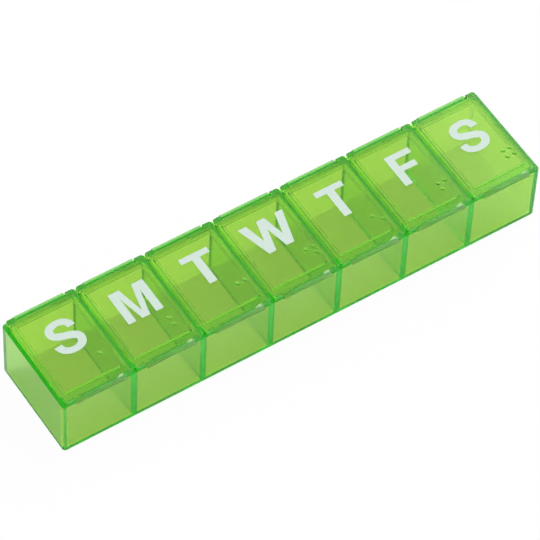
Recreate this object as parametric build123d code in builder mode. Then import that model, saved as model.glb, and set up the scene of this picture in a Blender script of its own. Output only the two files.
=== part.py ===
from build123d import *
from math import sqrt
import os

# Weekly pill organizer, moulded in one translucent plastic.
# A tray of seven compartments in a row, a plug lid over each compartment, and a
# thin film between each lid and the rear wall, which bends as the lid's hinge.
# +X runs from Sunday to Saturday, -Y is the front with the thumb lips, +Z is up.
# The origin is the centre of the tray's underside. Sizes are in millimetres.

days = ["sunday", "monday", "tuesday", "wednesday", "thursday", "friday", "saturday"]

# Tray
compartment_width = 22.3
compartment_depth = 31.8
compartment_height = 21.5
end_wall = 1.5
long_wall = 1.5
partition = 1.5
floor_thickness = 1.5
tray_corner_radius = 1.0
foot_radius = 1.6
rim_radius = 0.25
pocket_corner_radius = 0.5
pocket_floor_radius = 0.3

# Lids
lid_gap = 0.4
lid_setback = 0.3
lid_rim_gap = 0.2
lid_thickness = 1.4
lid_corner_radius = 1.0
lid_edge_radius = 0.2
panel_side_margin = 2.0
panel_end_margin = 2.55
panel_rise = 0.2
panel_corner_radius = 0.8
panel_edge_radius = 0.12
plug_depth = 2.0
plug_wall = 1.0
plug_front_wall = 2.4
plug_clearance = 0.25
plug_corner_radius = 0.6
plug_lead_in = 0.3

# Thumb lips
lip_width = 16.8
lip_reach = 0.9
lip_root = 0.7
lip_arc_width = 14.0
lip_arc_rise = 1.85
lip_foot_height = 0.5
lip_edge_radius = 0.35

# Film hinges
film_width = 17.0
film_thickness = 0.3
film_bend_radius = 0.5
film_side_gap = 0.2

# Raised dots that number the days by touch
dot_spacing = 2.5
dot_diameter = 1.6
dot_height = 0.5
dots_from_side = 4.28
dots_from_front = 9.05

# Which of the four dots each day has, as steps from the middle of the four
rear_left, front_left, rear_right, front_right = (-1, 1), (-1, -1), (1, 1), (1, -1)
day_dots = {
    "sunday": [rear_left],
    "monday": [rear_left, front_left],
    "tuesday": [rear_left, rear_right],
    "wednesday": [rear_left, rear_right, front_right],
    "thursday": [rear_left, front_right],
    "friday": [rear_left, front_left, rear_right],
    "saturday": [rear_left, front_left, rear_right, front_right],
}

# What follows from them
pitch = compartment_width + partition
pockets_length = len(days) * pitch - partition
tray_length = pockets_length + 2 * end_wall
tray_depth = compartment_depth + 2 * long_wall
tray_height = floor_thickness + compartment_height
tray_front = -tray_depth / 2
tray_rear = tray_depth / 2

lid_width = pitch - lid_gap
lid_depth = tray_depth - 2 * lid_setback
lid_bottom = tray_height + lid_rim_gap
lid_top = lid_bottom + lid_thickness
lid_front = -lid_depth / 2
lid_rear = lid_depth / 2
plug_width = compartment_width - 2 * plug_clearance
plug_length = compartment_depth - 2 * plug_clearance
plug_front = -plug_length / 2
plug_rear = plug_length / 2
plug_opening_front = plug_front + plug_front_wall
plug_opening_rear = plug_rear - plug_wall

lip_front = tray_front - lip_reach
lip_back = lid_front + lip_root
lip_slope_height = lid_thickness - lip_foot_height

notch_width = film_width + 2 * film_side_gap
notch_face = plug_rear

film_low = tray_height - rim_radius - film_thickness / 2
film_high = film_low + 2 * film_bend_radius


def lid_middle(index):
    """X of the middle of a compartment, and of the lid over it"""
    return (index - (len(days) - 1) / 2) * pitch


# Tray

with BuildPart() as tray:
    with BuildSketch():
        RectangleRounded(tray_length, tray_depth, tray_corner_radius)
    extrude(amount=tray_height)
    fillet(tray.faces().sort_by(Axis.Z)[0].edges(), foot_radius)
    with BuildSketch(Plane.XY.offset(floor_thickness)):
        with GridLocations(pitch, 0, len(days), 1):
            RectangleRounded(compartment_width, compartment_depth, pocket_corner_radius)
    extrude(amount=compartment_height, mode=Mode.SUBTRACT)
    pocket_floors = tray.faces().filter_by(Axis.Z).group_by(Axis.Z)[1]
    fillet(pocket_floors.edges(), pocket_floor_radius)
    fillet(tray.faces().sort_by(Axis.Z)[-1].edges(), rim_radius)
tray.part.label = "tray"
export_step(tray.part, "parts/tray.step")


# Lids

def thumb_lip(middle):
    """A ledge with a straight rounded foot, and over it a face that slopes back to an arched top"""
    half_arc = lip_arc_width / 2
    top_radius = (half_arc**2 + lip_arc_rise**2) / (2 * lip_arc_rise)
    cone_foot_radius = sqrt((lip_width / 2) ** 2 + top_radius**2)
    cone_middle = lip_front + top_radius
    lip_middle = (lip_front + lip_back) / 2
    with BuildPart() as lip:
        with BuildSketch(Plane((middle, lip_middle, lid_bottom + lip_foot_height))):
            Rectangle(lip_width, lip_back - lip_front)
        extrude(amount=lip_slope_height)
        with Locations((middle, cone_middle, lid_top - lip_slope_height / 2)):
            Cone(cone_foot_radius, top_radius, lip_slope_height, mode=Mode.INTERSECT)
        with BuildSketch(Plane((middle, lip_middle, lid_bottom))):
            Rectangle(lip_width, lip_back - lip_front)
        extrude(amount=lip_foot_height)
        foot_edges = lip.edges().filter_by(Axis.X).group_by(Axis.Z)[0]
        fillet(foot_edges.sort_by(Axis.Y)[0], lip_edge_radius)
    return lip.part


for index, day in enumerate(days):
    middle = lid_middle(index)
    lip_solid = thumb_lip(middle)
    with BuildPart() as lid:
        # plate, notched at the rear where the film comes in
        with BuildSketch(Plane((middle, 0, lid_bottom))):
            RectangleRounded(lid_width, lid_depth, lid_corner_radius)
            with Locations((0, (notch_face + lid_rear) / 2)):
                Rectangle(notch_width, lid_rear - notch_face, mode=Mode.SUBTRACT)
        extrude(amount=lid_thickness)
        fillet(lid.faces().sort_by(Axis.Z)[-1].edges(), lid_edge_radius)
        # raised panel
        with BuildSketch(Plane((middle, 0, lid_top))):
            RectangleRounded(
                lid_width - 2 * panel_side_margin,
                lid_depth - 2 * panel_end_margin,
                panel_corner_radius,
            )
        extrude(amount=panel_rise)
        fillet(lid.faces().sort_by(Axis.Z)[-1].edges(), panel_edge_radius)
        # plug that fits down inside the compartment, thickest at the front where the thumb lifts it
        with BuildSketch(Plane((middle, 0, lid_bottom))):
            RectangleRounded(plug_width, plug_length, plug_corner_radius)
            with Locations((0, (plug_opening_front + plug_opening_rear) / 2)):
                Rectangle(
                    plug_width - 2 * plug_wall,
                    plug_opening_rear - plug_opening_front,
                    mode=Mode.SUBTRACT,
                )
        extrude(amount=-plug_depth)
        plug_foot = lid.faces().sort_by(Axis.Z)[0]
        chamfer(plug_foot.outer_wire().edges(), plug_lead_in)
        # the thumb lip takes the place of the plate's front edge
        with BuildSketch(Plane((middle, (lid_front + lip_back) / 2, lid_bottom))):
            Rectangle(lip_width, lip_back - lid_front)
        extrude(amount=lid_thickness, mode=Mode.SUBTRACT)
        add(lip_solid)
        # raised dots
        dot_sphere_radius = ((dot_diameter / 2) ** 2 + dot_height**2) / (2 * dot_height)
        dots_x = middle + lid_width / 2 - dots_from_side
        dots_y = lid_front + dots_from_front
        for step_x, step_y in day_dots[day]:
            dot_x = dots_x + step_x * dot_spacing / 2
            dot_y = dots_y + step_y * dot_spacing / 2
            with Locations((dot_x, dot_y, lid_top + panel_rise + dot_height - dot_sphere_radius)):
                Sphere(dot_sphere_radius)
    lid.part.label = f"lid_{day}"
    export_step(lid.part, f"parts/lid_{day}.step")


# Film hinges, each a half round bend out of the rear wall and forward into its lid's notch

for index, day in enumerate(days):
    inner_radius = film_bend_radius - film_thickness / 2
    outer_radius = film_bend_radius + film_thickness / 2
    bend_z = (film_low + film_high) / 2
    with BuildPart() as hinge:
        with BuildSketch(Plane.YZ.offset(lid_middle(index))):
            with BuildLine():
                outer = CenterArc((tray_rear, bend_z), outer_radius, -90, 180)
                inner = CenterArc((tray_rear, bend_z), inner_radius, -90, 180)
                Line(outer @ 0, inner @ 0)
                Polyline(
                    outer @ 1,
                    (notch_face, bend_z + outer_radius),
                    (notch_face, bend_z + inner_radius),
                    inner @ 1,
                )
            make_face()
        extrude(amount=film_width / 2, both=True)
    hinge.part.label = f"hinge_{day}"
    export_step(hinge.part, f"parts/hinge_{day}.step")

# A lid turns about the middle of its film's bend
hinge_axis_y = tray_rear + film_bend_radius
hinge_axis_z = (film_low + film_high) / 2
print("tray", tray_length, tray_depth, tray_height)
print("hinge axis at y", round(hinge_axis_y, 3), "z", round(hinge_axis_z, 3))
print("compartment middles", [round(lid_middle(index), 3) for index in range(len(days))])
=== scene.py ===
import math
import bmesh
import bpy
from mathutils import Matrix, Vector


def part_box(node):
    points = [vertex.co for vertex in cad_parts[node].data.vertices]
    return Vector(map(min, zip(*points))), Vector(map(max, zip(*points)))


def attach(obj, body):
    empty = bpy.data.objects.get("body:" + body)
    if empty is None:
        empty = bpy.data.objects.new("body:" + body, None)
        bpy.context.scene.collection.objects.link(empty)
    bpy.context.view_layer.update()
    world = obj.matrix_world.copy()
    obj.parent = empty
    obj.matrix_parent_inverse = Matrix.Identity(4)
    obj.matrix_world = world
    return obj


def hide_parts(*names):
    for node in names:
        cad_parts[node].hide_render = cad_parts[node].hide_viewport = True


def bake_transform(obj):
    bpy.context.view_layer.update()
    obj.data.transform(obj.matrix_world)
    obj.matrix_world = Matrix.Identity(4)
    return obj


# Weekly pill organizer in translucent green plastic.
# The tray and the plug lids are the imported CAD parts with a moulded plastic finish.
# The film hinges and the printed day initials are modelled here.
# Metres, +X from Sunday to Saturday, -Y the front, +Z up, origin under the middle of the tray.

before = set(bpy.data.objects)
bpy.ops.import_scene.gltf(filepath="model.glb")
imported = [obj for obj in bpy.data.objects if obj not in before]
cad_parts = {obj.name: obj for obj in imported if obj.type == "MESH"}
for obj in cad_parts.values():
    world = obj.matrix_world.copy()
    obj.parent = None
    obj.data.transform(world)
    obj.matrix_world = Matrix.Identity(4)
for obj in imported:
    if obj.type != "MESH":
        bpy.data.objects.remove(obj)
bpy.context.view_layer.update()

mm = 0.001
days = ["sunday", "monday", "tuesday", "wednesday", "thursday", "friday", "saturday"]
initials = ["S", "M", "T", "W", "T", "F", "S"]


# Shared helpers

def addNode(tree, kind, place, **values):
    node = tree.nodes.new(kind)
    node.location = place
    for name, value in values.items():
        setattr(node, name, value)
    return node


def newMaterial(name):
    material = bpy.data.materials.new(name)
    material.use_nodes = True
    material.node_tree.nodes.clear()
    return material, material.node_tree


def useMaterial(obj, material):
    obj.data.materials.clear()
    obj.data.materials.append(material)


def objectFromBmesh(name, bm):
    mesh = bpy.data.meshes.new(name)
    bm.to_mesh(mesh)
    bm.free()
    obj = bpy.data.objects.new(name, mesh)
    bpy.context.scene.collection.objects.link(obj)
    return obj


def dayMiddle(day):
    low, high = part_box("lid_" + day)
    return (low.x + high.x) / 2


# Materials

plasticLook = {
    "refraction": 1.56,
    "clearness": 0.99,                         # the rest is a slight milkiness
    "roughnessSpread": 0.05,                   # from the smoothest to the roughest grain
    "absorbColour": (0.55, 0.993, 0.0, 1.0),   # the higher, the less a thick wall takes of it
    "absorbDensity": 430.0,                    # per metre
    "waveScale": 160.0,                        # slow waves of a moulded face
    "waveDetail": 2.0,
    "waveBump": 0.04,
    "waveDepth": 0.04 * mm,
    "grainScale": 2600.0,                      # fine polish marks
    "grainDetail": 3.0,
    "grainRange": (0.3, 0.7),                  # the part of the noise that counts
}

lidLook = {
    "tint": (0.88, 0.87, 0.52, 1.0),
    "roughness": 0.05,
    "satin": 0.45,                             # added on the thumb lips and round the panel
    "dotHeight": 0.5 * mm,
    "stepBand": (0.18 * mm, 0.02 * mm),        # under the panel's top
    "lipBand": (1.1 * mm, -0.1 * mm),          # behind the front of the lips
}

trayLook = {
    "tint": (0.98, 0.96, 0.5, 1.0),
    "roughness": 0.12,
    "satin": 0.06,                             # added on the outer walls
    "wallBand": 0.5 * mm,                      # to either side of the outline
}


# A clear moulded plastic that is rougher in some bands
def makePlastic(name, ownLook, satinBands):
    look = plasticLook
    roughness = ownLook["roughness"]
    material, tree = newMaterial(name)
    output = addNode(tree, "ShaderNodeOutputMaterial", (700, 0))
    shader = addNode(tree, "ShaderNodeBsdfPrincipled", (380, 0))
    shader.inputs["Base Color"].default_value = ownLook["tint"]
    shader.inputs["IOR"].default_value = look["refraction"]
    shader.inputs["Transmission Weight"].default_value = look["clearness"]
    place = addNode(tree, "ShaderNodeTexCoord", (-900, 0))
    waves = addNode(tree, "ShaderNodeTexNoise", (-600, -200))
    waves.inputs["Scale"].default_value = look["waveScale"]
    waves.inputs["Detail"].default_value = look["waveDetail"]
    grain = addNode(tree, "ShaderNodeTexNoise", (-600, 150))
    grain.inputs["Scale"].default_value = look["grainScale"]
    grain.inputs["Detail"].default_value = look["grainDetail"]
    spread = addNode(tree, "ShaderNodeMapRange", (-300, 150))
    spread.inputs["From Min"].default_value = look["grainRange"][0]
    spread.inputs["From Max"].default_value = look["grainRange"][1]
    spread.inputs["To Min"].default_value = roughness
    spread.inputs["To Max"].default_value = roughness + look["roughnessSpread"]
    bump = addNode(tree, "ShaderNodeBump", (0, -200))
    bump.inputs["Strength"].default_value = look["waveBump"]
    bump.inputs["Distance"].default_value = look["waveDepth"]
    volume = addNode(tree, "ShaderNodeVolumeAbsorption", (380, -420))
    volume.inputs["Color"].default_value = look["absorbColour"]
    volume.inputs["Density"].default_value = look["absorbDensity"]
    links = tree.links
    links.new(place.outputs["Object"], waves.inputs["Vector"])
    links.new(place.outputs["Object"], grain.inputs["Vector"])
    links.new(grain.outputs["Fac"], spread.inputs["Value"])
    rougher = addSatin(tree, place, spread, ownLook["satin"], satinBands)
    links.new(rougher, shader.inputs["Roughness"])
    links.new(waves.outputs["Fac"], bump.inputs["Height"])
    links.new(bump.outputs["Normal"], shader.inputs["Normal"])
    links.new(shader.outputs["BSDF"], output.inputs["Surface"])
    links.new(volume.outputs["Volume"], output.inputs["Volume"])
    return material


# Adds to the roughness in some bands, each an axis and from where to where along it, on both sides
def addSatin(tree, place, spread, satin, bands):
    apart = addNode(tree, "ShaderNodeSeparateXYZ", (-700, 450))
    tree.links.new(place.outputs["Object"], apart.inputs["Vector"])
    masks = []
    for axis, near, far in bands:
        size = addNode(tree, "ShaderNodeMath", (-520, 450), operation="ABSOLUTE")
        inside = addNode(tree, "ShaderNodeMath", (-360, 450), operation="COMPARE")
        inside.inputs[1].default_value = (near + far) / 2
        inside.inputs[2].default_value = (far - near) / 2
        tree.links.new(apart.outputs[axis], size.inputs[0])
        tree.links.new(size.outputs["Value"], inside.inputs[0])
        masks.append(inside.outputs["Value"])
    while len(masks) > 1:
        either = addNode(tree, "ShaderNodeMath", (-200, 450), operation="MAXIMUM")
        tree.links.new(masks.pop(), either.inputs[0])
        tree.links.new(masks.pop(), either.inputs[1])
        masks.append(either.outputs["Value"])
    more = addNode(tree, "ShaderNodeMath", (-40, 300), operation="MULTIPLY_ADD")
    more.inputs[1].default_value = satin
    tree.links.new(masks[0], more.inputs[0])
    tree.links.new(spread.outputs["Result"], more.inputs[2])
    return more.outputs["Value"]


filmLook = {
    "tint": (0.46, 0.87, 0.33, 1.0),
    "refraction": 1.49,
    "roughness": 0.12,
    "grainScale": 1800.0,
    "grainDetail": 3.0,
    "grainBump": 0.2,
    "grainDepth": 0.02 * mm,
}


# A film is thin and worked by bending, so paler and less clear than the walls
def makeFilmPlastic():
    look = filmLook
    material, tree = newMaterial("filmPlastic")
    output = addNode(tree, "ShaderNodeOutputMaterial", (600, 0))
    shader = addNode(tree, "ShaderNodeBsdfPrincipled", (300, 0))
    shader.inputs["Base Color"].default_value = look["tint"]
    shader.inputs["IOR"].default_value = look["refraction"]
    shader.inputs["Transmission Weight"].default_value = 1.0
    shader.inputs["Roughness"].default_value = look["roughness"]
    place = addNode(tree, "ShaderNodeTexCoord", (-700, 0))
    grain = addNode(tree, "ShaderNodeTexNoise", (-450, 0))
    grain.inputs["Scale"].default_value = look["grainScale"]
    grain.inputs["Detail"].default_value = look["grainDetail"]
    bump = addNode(tree, "ShaderNodeBump", (0, -200))
    bump.inputs["Strength"].default_value = look["grainBump"]
    bump.inputs["Distance"].default_value = look["grainDepth"]
    tree.links.new(place.outputs["Object"], grain.inputs["Vector"])
    tree.links.new(grain.outputs["Fac"], bump.inputs["Height"])
    tree.links.new(bump.outputs["Normal"], shader.inputs["Normal"])
    tree.links.new(shader.outputs["BSDF"], output.inputs["Surface"])
    return material


inkLook = {
    "colour": (0.595, 0.72, 0.645, 1.0),
    "shade": (0.57, 0.69, 0.615, 1.0),
    "roughness": 0.42,
    "mottleScale": 900.0,
    "mottleDetail": 3.0,
    "shadeUpTo": 0.3,        # the part of the noise that has the shade
    "colourFrom": 0.6,
}


# The printed initials' ink, a little uneven
def makeInk():
    look = inkLook
    material, tree = newMaterial("whiteInk")
    output = addNode(tree, "ShaderNodeOutputMaterial", (600, 0))
    shader = addNode(tree, "ShaderNodeBsdfPrincipled", (300, 0))
    shader.inputs["Roughness"].default_value = look["roughness"]
    place = addNode(tree, "ShaderNodeTexCoord", (-700, 0))
    mottle = addNode(tree, "ShaderNodeTexNoise", (-450, 0))
    mottle.inputs["Scale"].default_value = look["mottleScale"]
    mottle.inputs["Detail"].default_value = look["mottleDetail"]
    ramp = addNode(tree, "ShaderNodeValToRGB", (-150, 0))
    low, high = ramp.color_ramp.elements
    low.position = look["shadeUpTo"]
    low.color = look["shade"]
    high.position = look["colourFrom"]
    high.color = look["colour"]
    tree.links.new(place.outputs["Object"], mottle.inputs["Vector"])
    tree.links.new(mottle.outputs["Fac"], ramp.inputs["Fac"])
    tree.links.new(ramp.outputs["Color"], shader.inputs["Base Color"])
    tree.links.new(shader.outputs["BSDF"], output.inputs["Surface"])
    return material


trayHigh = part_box("tray")[1]
lidLow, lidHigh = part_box("lid_sunday")
lipFront = -lidLow.y
panelTop = lidHigh.z - lidLook["dotHeight"]      # the raised dots are the highest points
lidPlastic = makePlastic("lidPlastic", lidLook, [
    ("Z", *(panelTop - under for under in lidLook["stepBand"])),
    ("Y", *(lipFront - behind for behind in lidLook["lipBand"])),
])
trayPlastic = makePlastic("trayPlastic", trayLook, [
    (axis, reach - trayLook["wallBand"], reach + trayLook["wallBand"])
    for axis, reach in (("X", trayHigh.x), ("Y", trayHigh.y))
])
filmPlastic = makeFilmPlastic()
whiteInk = makeInk()
print("materials made")

for nodeName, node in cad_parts.items():
    useMaterial(node, trayPlastic if nodeName == "tray" else lidPlastic)


# Film hinges

filmSettings = {
    "thickness": 0.3 * mm,
    "endGap": 0.01 * mm,      # the strip stops this short of the wall and of the lid
    "steps": 20,
    "sharpFrom": 40.0,        # degrees between two faces
}


# A strip that bends out of the rear wall and forward into its lid's notch
def makeFilm(day):
    settings = filmSettings
    low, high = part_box("hinge_" + day)
    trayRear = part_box("tray")[1].y
    wallFace = trayRear + settings["endGap"]
    lidFace = low.y + settings["endGap"]
    middle = Vector(((low.x + high.x) / 2, wallFace, (low.z + high.z) / 2))
    bm = bmesh.new()
    bmesh.ops.create_grid(bm, x_segments=1, y_segments=1, size=0.5)
    bmesh.ops.scale(bm, verts=bm.verts, vec=(high.x - low.x, settings["thickness"], 1))
    bmesh.ops.rotate(bm, verts=bm.verts, matrix=Matrix.Rotation(math.radians(90), 3, "X"))
    start = Vector((middle.x, wallFace, low.z + settings["thickness"] / 2))
    bmesh.ops.translate(bm, verts=bm.verts, vec=start)
    made = bmesh.ops.spin(
        bm, geom=bm.faces[:] + bm.edges[:] + bm.verts[:], cent=middle, axis=(1, 0, 0),
        angle=math.radians(180), steps=settings["steps"], use_duplicate=False,
    )
    endFaces = [g for g in made["geom_last"] if isinstance(g, bmesh.types.BMFace)]
    stub = bmesh.ops.extrude_face_region(bm, geom=endFaces)
    stubVerts = [g for g in stub["geom"] if isinstance(g, bmesh.types.BMVert)]
    bmesh.ops.translate(bm, verts=stubVerts, vec=(0, lidFace - wallFace, 0))
    bmesh.ops.delete(bm, geom=endFaces, context="FACES_ONLY")
    bmesh.ops.recalc_face_normals(bm, faces=bm.faces)
    film = objectFromBmesh("film_" + day, bm)
    for face in film.data.polygons:
        face.use_smooth = True
    film.data.set_sharp_from_angle(angle=math.radians(settings["sharpFrom"]))
    useMaterial(film, filmPlastic)
    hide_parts("hinge_" + day)
    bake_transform(film)


for day in days:
    makeFilm(day)
print("film hinges made")


# Printed initials, drawn in millimetres from the middle of a lid

inkSettings = {
    "thickness": 0.04 * mm,
    "lift": 0.005 * mm,       # over the panel
    "stroke": 2.6 * mm,       # width of the curved letter's stroke
    "curveSteps": 20,
    "weld": 0.001 * mm,
}

straightLetters = {
    "M": [(-5.27, -2.95), (-5.27, 9.15), (-1.4, 9.15), (0.72, -0.3), (2.85, 9.15), (6.73, 9.15),
          (6.73, -2.95), (4.15, -2.95), (4.15, 6.25), (2.03, -2.95), (-0.6, -2.95), (-2.72, 6.25),
          (-2.72, -2.95)],
    "T": [(-4.55, 7.25), (-4.55, 9.35), (5.3, 9.35), (5.3, 7.25), (1.72, 7.25), (1.72, -2.75),
          (-0.95, -2.75), (-0.95, 7.25)],
    "W": [(-7.43, 9.4), (-4.52, 9.4), (-2.66, 2.05), (-0.94, 9.4), (1.9, 9.4), (3.62, 1.65),
          (5.61, 9.4), (8.27, 9.4), (4.93, -2.65), (2.26, -2.65), (0.47, 5.3), (-1.37, -2.65),
          (-3.87, -2.65)],
    "F": [(-2.8, -2.8), (-2.8, 9.33), (5.88, 9.33), (5.88, 7.2), (-0.22, 7.2), (-0.22, 4.47),
          (5.1, 4.47), (5.1, 2.35), (-0.22, 2.35), (-0.22, -2.8)],
}

# The S is one stroke along this line: point, handle before, handle after, share of the width
curvedLetter = [
    ((4.12, 5.62), (4.2, 4.9), (3.9, 7.35), 1.0),
    ((0.75, 8.5), (2.75, 8.5), (-1.5, 8.5), 0.81),
    ((-2.95, 6.05), (-2.95, 7.55), (-2.95, 4.4), 1.0),
    ((0.75, 3.35), (-1.1, 3.85), (2.55, 2.85), 0.98),
    ((4.4, 0.75), (4.4, 2.2), (4.4, -1.05), 1.04),
    ((0.72, -2.05), (3.0, -2.05), (-1.75, -2.05), 0.82),
    ((-3.1, 1.05), (-2.95, -0.75), (-3.2, 1.9), 1.0),
]


# A letter with straight edges, from its outline
def straightLetter(name, points):
    bm = bmesh.new()
    corners = [bm.verts.new((x * mm, y * mm, 0)) for x, y in points]
    face = bm.faces.new(corners)
    grown = bmesh.ops.extrude_face_region(bm, geom=[face])
    top = [g for g in grown["geom"] if isinstance(g, bmesh.types.BMVert)]
    bmesh.ops.translate(bm, verts=top, vec=(0, 0, inkSettings["thickness"]))
    bmesh.ops.recalc_face_normals(bm, faces=bm.faces)
    return objectFromBmesh(name, bm)


# A curved letter, one flat stroke swept along its line
def strokeLetter(name, line):
    halfWidth = inkSettings["stroke"] / 2
    halfThickness = inkSettings["thickness"] / 2
    profile = bpy.data.curves.new(name + "_profile", "CURVE")
    profile.dimensions = "2D"
    outline = profile.splines.new("POLY")
    outline.points.add(3)
    corners = [(-1, -1), (1, -1), (1, 1), (-1, 1)]
    for point, (x, y) in zip(outline.points, corners):
        point.co = (x * halfWidth, y * halfThickness, 0, 1)
    outline.use_cyclic_u = True
    profileObject = bpy.data.objects.new(name + "_profile", profile)
    bpy.context.scene.collection.objects.link(profileObject)
    curve = bpy.data.curves.new(name + "_line", "CURVE")
    curve.dimensions = "3D"
    curve.twist_mode = "Z_UP"
    curve.bevel_mode = "OBJECT"
    curve.bevel_object = profileObject
    curve.use_fill_caps = True
    curve.resolution_u = inkSettings["curveSteps"]
    spline = curve.splines.new("BEZIER")
    spline.bezier_points.add(len(line) - 1)
    for point, (at, before, after, width) in zip(spline.bezier_points, line):
        point.co = (at[0] * mm, at[1] * mm, halfThickness)
        point.handle_left = (before[0] * mm, before[1] * mm, halfThickness)
        point.handle_right = (after[0] * mm, after[1] * mm, halfThickness)
        point.radius = width
    curveObject = bpy.data.objects.new(name + "_line", curve)
    bpy.context.scene.collection.objects.link(curveObject)
    bpy.context.view_layer.update()
    graph = bpy.context.evaluated_depsgraph_get()
    mesh = bpy.data.meshes.new_from_object(curveObject.evaluated_get(graph))
    bm = bmesh.new()
    bm.from_mesh(mesh)
    bmesh.ops.remove_doubles(bm, verts=bm.verts, dist=inkSettings["weld"])
    bmesh.ops.recalc_face_normals(bm, faces=bm.faces)
    for face in bm.faces:
        face.smooth = False
    bpy.data.objects.remove(curveObject)
    bpy.data.objects.remove(profileObject)
    return objectFromBmesh(name, bm)


for day, letter in zip(days, initials):
    name = "initial_" + day
    if letter == "S":
        ink = strokeLetter(name, curvedLetter)
    else:
        ink = straightLetter(name, straightLetters[letter])
    place = (dayMiddle(day), 0, panelTop + inkSettings["lift"])
    ink.data.transform(Matrix.Translation(place))
    useMaterial(ink, whiteInk)
    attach(ink, "lid_" + day)
print("initials made")


# Floor, light and camera

studio = {
    "white": (1.0, 1.0, 1.0, 1.0),
    "floorSize": 3.0,          # from the middle to each side
    "floorDrop": 0.02 * mm,
    "floorColour": (0.88, 0.88, 0.88, 1.0),
    # share of plain white over the floor's shading: seen directly, through the plastic, mirrored
    "floorLift": 0.97,
    "floorLiftThrough": 0.48,
    "floorLiftMirrored": 0.1,
    "skyStrength": 0.66,
    # round lights: way to each, cosine of its rim and of where it is full, added strength
    "skyLights": (
        ((0.64, 0.17, 0.75), 0.935, 0.965, 5.3),
        ((0.62, 0.44, 0.65), 0.9624, 0.9644, 0.8),
    ),
}


# A pale floor that keeps the object's shadow
def makeFloor():
    bm = bmesh.new()
    bmesh.ops.create_grid(bm, x_segments=2, y_segments=2, size=studio["floorSize"])
    bmesh.ops.translate(bm, verts=bm.verts, vec=(0, 0, -studio["floorDrop"]))
    floor = objectFromBmesh("floor", bm)
    material, tree = newMaterial("paleFloor")
    output = addNode(tree, "ShaderNodeOutputMaterial", (600, 0))
    paint = addNode(tree, "ShaderNodeBsdfDiffuse", (0, 150))
    paint.inputs["Color"].default_value = studio["floorColour"]
    white = addNode(tree, "ShaderNodeEmission", (0, -50))
    white.inputs["Color"].default_value = studio["white"]
    white.inputs["Strength"].default_value = 1.0
    rays = addNode(tree, "ShaderNodeLightPath", (-1100, 0))
    mirrored = addNode(tree, "ShaderNodeMath", (-850, -200), operation="SUBTRACT", use_clamp=True)
    seen = (
        (rays.outputs["Is Camera Ray"], studio["floorLift"]),
        (rays.outputs["Is Transmission Ray"], studio["floorLiftThrough"]),
        (mirrored.outputs["Value"], studio["floorLiftMirrored"]),
    )
    mix = addNode(tree, "ShaderNodeMixShader", (300, 0))
    links = tree.links
    links.new(rays.outputs["Is Glossy Ray"], mirrored.inputs[0])
    links.new(rays.outputs["Is Transmission Ray"], mirrored.inputs[1])
    lift = None
    for row, (kind, share) in enumerate(seen):
        step = addNode(tree, "ShaderNodeMath", (-600 + 200 * row, 100), operation="MULTIPLY_ADD")
        step.inputs[1].default_value = share
        step.inputs[2].default_value = 0.0
        links.new(kind, step.inputs[0])
        if lift:
            links.new(lift.outputs["Value"], step.inputs[2])
        lift = step
    links.new(lift.outputs["Value"], mix.inputs["Fac"])
    links.new(paint.outputs["BSDF"], mix.inputs[1])
    links.new(white.outputs["Emission"], mix.inputs[2])
    links.new(mix.outputs["Shader"], output.inputs["Surface"])
    useMaterial(floor, material)


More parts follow.
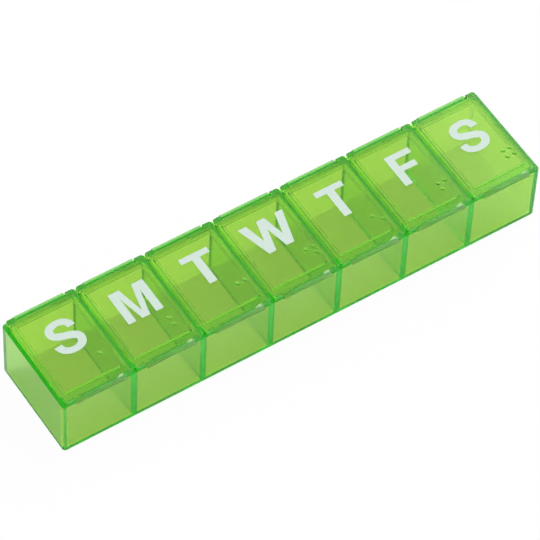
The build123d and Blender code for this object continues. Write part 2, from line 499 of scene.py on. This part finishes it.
# An even white sky with soft round lights in it
def makeSky():
    world = bpy.data.worlds.new("studio")
    bpy.context.scene.world = world
    world.use_nodes = True
    tree = world.node_tree
    tree.nodes.clear()
    output = addNode(tree, "ShaderNodeOutputWorld", (800, 0))
    sky = addNode(tree, "ShaderNodeBackground", (300, 0))
    sky.inputs["Color"].default_value = studio["white"]
    backdrop = addNode(tree, "ShaderNodeBackground", (300, -200))      # seen past the floor
    backdrop.inputs["Color"].default_value = studio["white"]
    backdrop.inputs["Strength"].default_value = 1.0
    rays = addNode(tree, "ShaderNodeLightPath", (300, 400))
    mix = addNode(tree, "ShaderNodeMixShader", (550, 0))
    place = addNode(tree, "ShaderNodeTexCoord", (-1200, 0))
    links = tree.links
    level = None
    for row, (way, rim, full, strength) in enumerate(studio["skyLights"]):
        down = -250 * row
        nearness = addNode(tree, "ShaderNodeVectorMath", (-950, down), operation="DOT_PRODUCT")
        nearness.inputs[1].default_value = Vector(way).normalized()
        glow = addNode(tree, "ShaderNodeMapRange", (-700, down), interpolation_type="SMOOTHSTEP")
        glow.inputs["From Min"].default_value = rim
        glow.inputs["From Max"].default_value = full
        glow.inputs["To Max"].default_value = strength
        total = addNode(tree, "ShaderNodeMath", (-400 + 200 * row, 0), operation="ADD")
        total.inputs[1].default_value = studio["skyStrength"]
        links.new(place.outputs["Generated"], nearness.inputs[0])
        links.new(nearness.outputs["Value"], glow.inputs["Value"])
        links.new(glow.outputs["Result"], total.inputs[0])
        if level:
            links.new(level.outputs["Value"], total.inputs[1])
        level = total
    links.new(level.outputs["Value"], sky.inputs["Strength"])
    links.new(rays.outputs["Is Camera Ray"], mix.inputs["Fac"])
    links.new(sky.outputs["Background"], mix.inputs[1])
    links.new(backdrop.outputs["Background"], mix.inputs[2])
    links.new(mix.outputs["Shader"], output.inputs["Surface"])


# Fitted to the photo. Angles in degrees, target in metres
viewFit = {
    "azimuth": 35.29,
    "elevation": 53.475,
    "roll": 3.054,
    "distance": 1.18575,
    "lens": 264.27,
    "target": (-0.001508, -0.00003, 0.012),
    "sensor": 36,
    "clip": (0.01, 50),
}


def makeCamera():
    angles = (math.radians(viewFit[key]) for key in ("azimuth", "elevation", "roll"))
    azimuth, elevation, roll = angles
    toCamera = Vector((
        -math.sin(azimuth) * math.cos(elevation),
        -math.cos(azimuth) * math.cos(elevation),
        math.sin(elevation),
    ))
    right = Vector((math.cos(azimuth), -math.sin(azimuth), 0))
    up = toCamera.cross(right)
    rolledRight = right * math.cos(roll) + up * math.sin(roll)
    rolledUp = up * math.cos(roll) - right * math.sin(roll)
    data = bpy.data.cameras.new("camera")
    data.lens = viewFit["lens"]
    data.sensor_width = viewFit["sensor"]
    data.clip_start, data.clip_end = viewFit["clip"]
    camera = bpy.data.objects.new("camera", data)
    turn = Matrix((rolledRight, rolledUp, toCamera)).transposed()
    place = Vector(viewFit["target"]) + toCamera * viewFit["distance"]
    camera.matrix_world = Matrix.Translation(place) @ turn.to_4x4()
    bpy.context.scene.collection.objects.link(camera)
    bpy.context.scene.camera = camera


makeFloor()
makeSky()
makeCamera()

scene = bpy.context.scene
lightBounces = 32              # the light crosses many walls
scene.view_settings.view_transform = "Standard"
scene.cycles.use_denoising = True
scene.cycles.max_bounces = lightBounces
scene.cycles.transmission_bounces = lightBounces
scene.cycles.glossy_bounces = lightBounces
print("floor, light and camera made")
